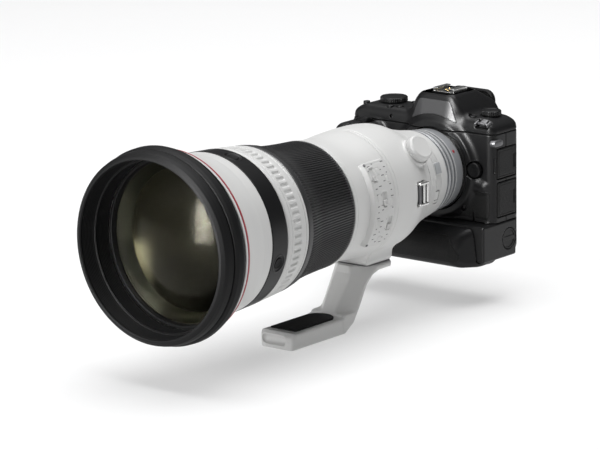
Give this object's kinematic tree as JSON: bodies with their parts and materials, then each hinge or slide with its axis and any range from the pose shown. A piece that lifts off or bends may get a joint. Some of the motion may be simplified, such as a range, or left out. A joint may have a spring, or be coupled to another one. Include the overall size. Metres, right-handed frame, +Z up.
{
  "type": "camera with telephoto lens",
  "caption": "Interchangeable-lens camera with a built-in lower grip and a long white telephoto lens, standing on the foot of the lens's tripod collar.",
  "frame": {"origin": "middle of the tripod foot's bottom face, under the lens axis", "axes": "+Z up, +Y from the lens's front to the camera body along the lens axis, +X to the side with the switch panel and the port covers"},
  "size_m": [0.1724, 0.427, 0.1914],
  "materials": {
    "white_paint": "semi-matte heat-resistant enamel",
    "black_rubber": "fine ribbed",
    "black_paint": "satin",
    "red_paint": "satin",
    "body_plastic": "fine grained satin",
    "grip_rubber": "leather-grained",
    "grey_metal": "satin anodised",
    "bright_steel": "brushed",
    "glass": "coated",
    "screen": "gloss",
    "board": "satin",
    "brass_contact": "plated",
    "white_plastic": "satin"
  },
  "bodies": {
    "collar": {"collar_ring": "white_paint", "foot": "white_paint", "foot_pad": "black_rubber", "strap_lugs": "grey_metal"},
    "lens": {"front_ring": "black_rubber", "red_ring": "red_paint", "front_barrel": "white_paint", "front_element": "glass", "element_cell": "black_paint", "button_band": "black_paint", "main_barrel": "white_paint", "switch_panel": "white_plastic", "rear_barrel": "white_paint", "mount_section": "grey_metal", "lens_mount": "bright_steel", "lens_contacts": "brass_contact", "iris_unit": "black_paint", "stabiliser_unit": "black_paint", "inner_glass": "glass", "focus_motor": "black_paint"},
    "camera": {"front_cover": "body_plastic", "rear_cover": "body_plastic", "top_cover": "body_plastic", "hot_shoe": "bright_steel", "eyecup": "grip_rubber", "viewfinder_unit": "screen", "body_mount": "bright_steel", "chassis": "grey_metal", "shutter_unit": "black_paint", "sensor_unit": "screen", "main_board": "board", "monitor_hinge": "body_plastic", "body_lugs": "bright_steel"},
    "lock_knob": {"lock_knob": "white_plastic"},
    "control_ring": {"control_ring": "white_plastic"},
    "focus_ring": {"focus_ring": "black_rubber"},
    "function_button_1": {"function_button_1": "black_rubber"},
    "function_button_2": {"function_button_2": "black_rubber"},
    "function_button_3": {"function_button_3": "black_rubber"},
    "function_button_4": {"function_button_4": "black_rubber"},
    "slide_switch_1": {"slide_switch_1": "white_plastic"},
    "slide_switch_2": {"slide_switch_2": "white_plastic"},
    "slide_switch_3": {"slide_switch_3": "white_plastic"},
    "filter_holder": {"filter_holder": "white_plastic"},
    "lens_release_button": {"lens_release_button": "body_plastic"},
    "shutter_button": {"shutter_button": "body_plastic"},
    "low_shutter_button": {"low_shutter_button": "body_plastic"},
    "thumb_button": {"thumb_button": "body_plastic"},
    "joystick": {"joystick": "body_plastic"},
    "front_dial": {"front_dial": "body_plastic"},
    "top_dial": {"top_dial": "body_plastic"},
    "mode_dial": {"mode_dial": "body_plastic"},
    "rear_dial": {"rear_dial": "body_plastic"},
    "power_lever": {"power_lever": "body_plastic"},
    "monitor": {"monitor": "screen"},
    "battery": {"battery": "body_plastic"},
    "battery_knob": {"battery_knob": "body_plastic"},
    "card_door": {"card_door": "grip_rubber"},
    "port_cover_1": {"port_cover_1": "grip_rubber"},
    "port_cover_2": {"port_cover_2": "grip_rubber"}
  },
  "joints": [
    {"name": "collar_turn", "type": "hinge", "parent": "collar", "child": "lens", "pos_m": [0, 0, 0.112], "axis": [0, 1, 0], "continuous": true},
    {"name": "bayonet_twist", "type": "hinge", "parent": "lens", "child": "camera", "pos_m": [0, 0, 0.112], "axis": [0, 1, 0], "range_deg": [0, 60]},
    {"name": "lock_knob_turn", "type": "hinge", "parent": "collar", "child": "lock_knob", "pos_m": [0.03886, 0.09, 0.14347], "axis": [0.7771, 0, 0.6293], "range_deg": [0, 180]},
    {"name": "control_ring_turn", "type": "hinge", "parent": "lens", "child": "control_ring", "pos_m": [0, -0.09, 0.112], "axis": [0, 1, 0], "continuous": true},
    {"name": "focus_ring_turn", "type": "hinge", "parent": "lens", "child": "focus_ring", "pos_m": [0, -0.04, 0.112], "axis": [0, 1, 0], "continuous": true},
    {"name": "function_press_1", "type": "slide", "parent": "lens", "child": "function_button_1", "axis": [-0.2756, 0, -0.9613], "range_m": [0, 0.001], "stiffness_N_per_m": 300, "springref_m": -0.002},
    {"name": "function_press_2", "type": "slide", "parent": "lens", "child": "function_button_2", "axis": [-0.9613, 0, 0.2756], "range_m": [0, 0.001], "stiffness_N_per_m": 300, "springref_m": -0.002},
    {"name": "function_press_3", "type": "slide", "parent": "lens", "child": "function_button_3", "axis": [0.2756, 0, 0.9613], "range_m": [0, 0.001], "stiffness_N_per_m": 300, "springref_m": -0.002},
    {"name": "function_press_4", "type": "slide", "parent": "lens", "child": "function_button_4", "axis": [0.9613, 0, -0.2756], "range_m": [0, 0.001], "stiffness_N_per_m": 300, "springref_m": -0.002},
    {"name": "switch_slide_1", "type": "hinge", "parent": "lens", "child": "slide_switch_1", "pos_m": [0, 0.03, 0.112], "axis": [0, -1, 0], "range_deg": [0, 6]},
    {"name": "switch_slide_2", "type": "hinge", "parent": "lens", "child": "slide_switch_2", "pos_m": [0, 0.03, 0.112], "axis": [0, -1, 0], "range_deg": [0, 6]},
    {"name": "switch_slide_3", "type": "hinge", "parent": "lens", "child": "slide_switch_3", "pos_m": [0, 0.03, 0.112], "axis": [0, -1, 0], "range_deg": [0, 6]},
    {"name": "filter_pull", "type": "slide", "parent": "lens", "child": "filter_holder", "axis": [0.9511, 0, 0.309], "range_m": [0, 0.075]},
    {"name": "lens_release_press", "type": "slide", "parent": "camera", "child": "lens_release_button", "axis": [0, 1, 0], "range_m": [0, 0.0018], "stiffness_N_per_m": 300, "springref_m": -0.002},
    {"name": "shutter_press", "type": "slide", "parent": "camera", "child": "shutter_button", "axis": [0, 0, -1], "range_m": [0, 0.0012], "stiffness_N_per_m": 300, "springref_m": -0.002},
    {"name": "low_shutter_press", "type": "slide", "parent": "camera", "child": "low_shutter_button", "axis": [1, 0, 0], "range_m": [0, 0.0012], "stiffness_N_per_m": 300, "springref_m": -0.002},
    {"name": "thumb_press", "type": "slide", "parent": "camera", "child": "thumb_button", "axis": [0, -1, 0], "range_m": [0, 0.001], "stiffness_N_per_m": 300, "springref_m": -0.002},
    {"name": "joystick_tilt", "type": "hinge", "parent": "camera", "child": "joystick", "pos_m": [-0.06, 0.208, 0.11], "axis": [1, 0, 0], "range_deg": [-6, 6], "stiffness_Nm_per_rad": 0.02},
    {"name": "front_dial_turn", "type": "hinge", "parent": "camera", "child": "front_dial", "pos_m": [-0.07, 0.1632, 0.142], "axis": [1, 0, 0], "continuous": true},
    {"name": "top_dial_turn", "type": "hinge", "parent": "camera", "child": "top_dial", "pos_m": [-0.062, 0.195, 0.158], "axis": [0, 0, 1], "continuous": true},
    {"name": "mode_dial_turn", "type": "hinge", "parent": "camera", "child": "mode_dial", "pos_m": [0.042, 0.194, 0.158], "axis": [0, 0, 1], "continuous": true},
    {"name": "rear_dial_turn", "type": "hinge", "parent": "camera", "child": "rear_dial", "pos_m": [-0.064, 0.212, 0.088], "axis": [0, 1, 0], "continuous": true},
    {"name": "power_lever_turn", "type": "hinge", "parent": "camera", "child": "power_lever", "pos_m": [-0.07, 0.212, 0.057], "axis": [0, 1, 0], "range_deg": [0, 40]},
    {"name": "monitor_swing", "type": "hinge", "parent": "camera", "child": "monitor", "pos_m": [0.0475, 0.2134, 0.112], "axis": [0, 0, -1], "range_deg": [0, 175]},
    {"name": "battery_slide", "type": "slide", "parent": "camera", "child": "battery", "axis": [1, 0, 0], "range_m": [0, 0.1]},
    {"name": "battery_knob_turn", "type": "hinge", "parent": "battery", "child": "battery_knob", "pos_m": [0.058, 0.194, 0.054], "axis": [1, 0, 0], "range_deg": [0, 90]},
    {"name": "card_door_swing", "type": "hinge", "parent": "camera", "child": "card_door", "pos_m": [-0.09, 0.2047, 0.11], "axis": [0, 0, -1], "range_deg": [0, 95]},
    {"name": "port_cover_swing_1", "type": "hinge", "parent": "camera", "child": "port_cover_1", "pos_m": [0.06, 0.1773, 0.0895], "axis": [0, 0, -1], "range_deg": [0, 100]},
    {"name": "port_cover_swing_2", "type": "hinge", "parent": "camera", "child": "port_cover_2", "pos_m": [0.06, 0.1773, 0.1205], "axis": [0, 0, -1], "range_deg": [0, 100]}
  ]
}
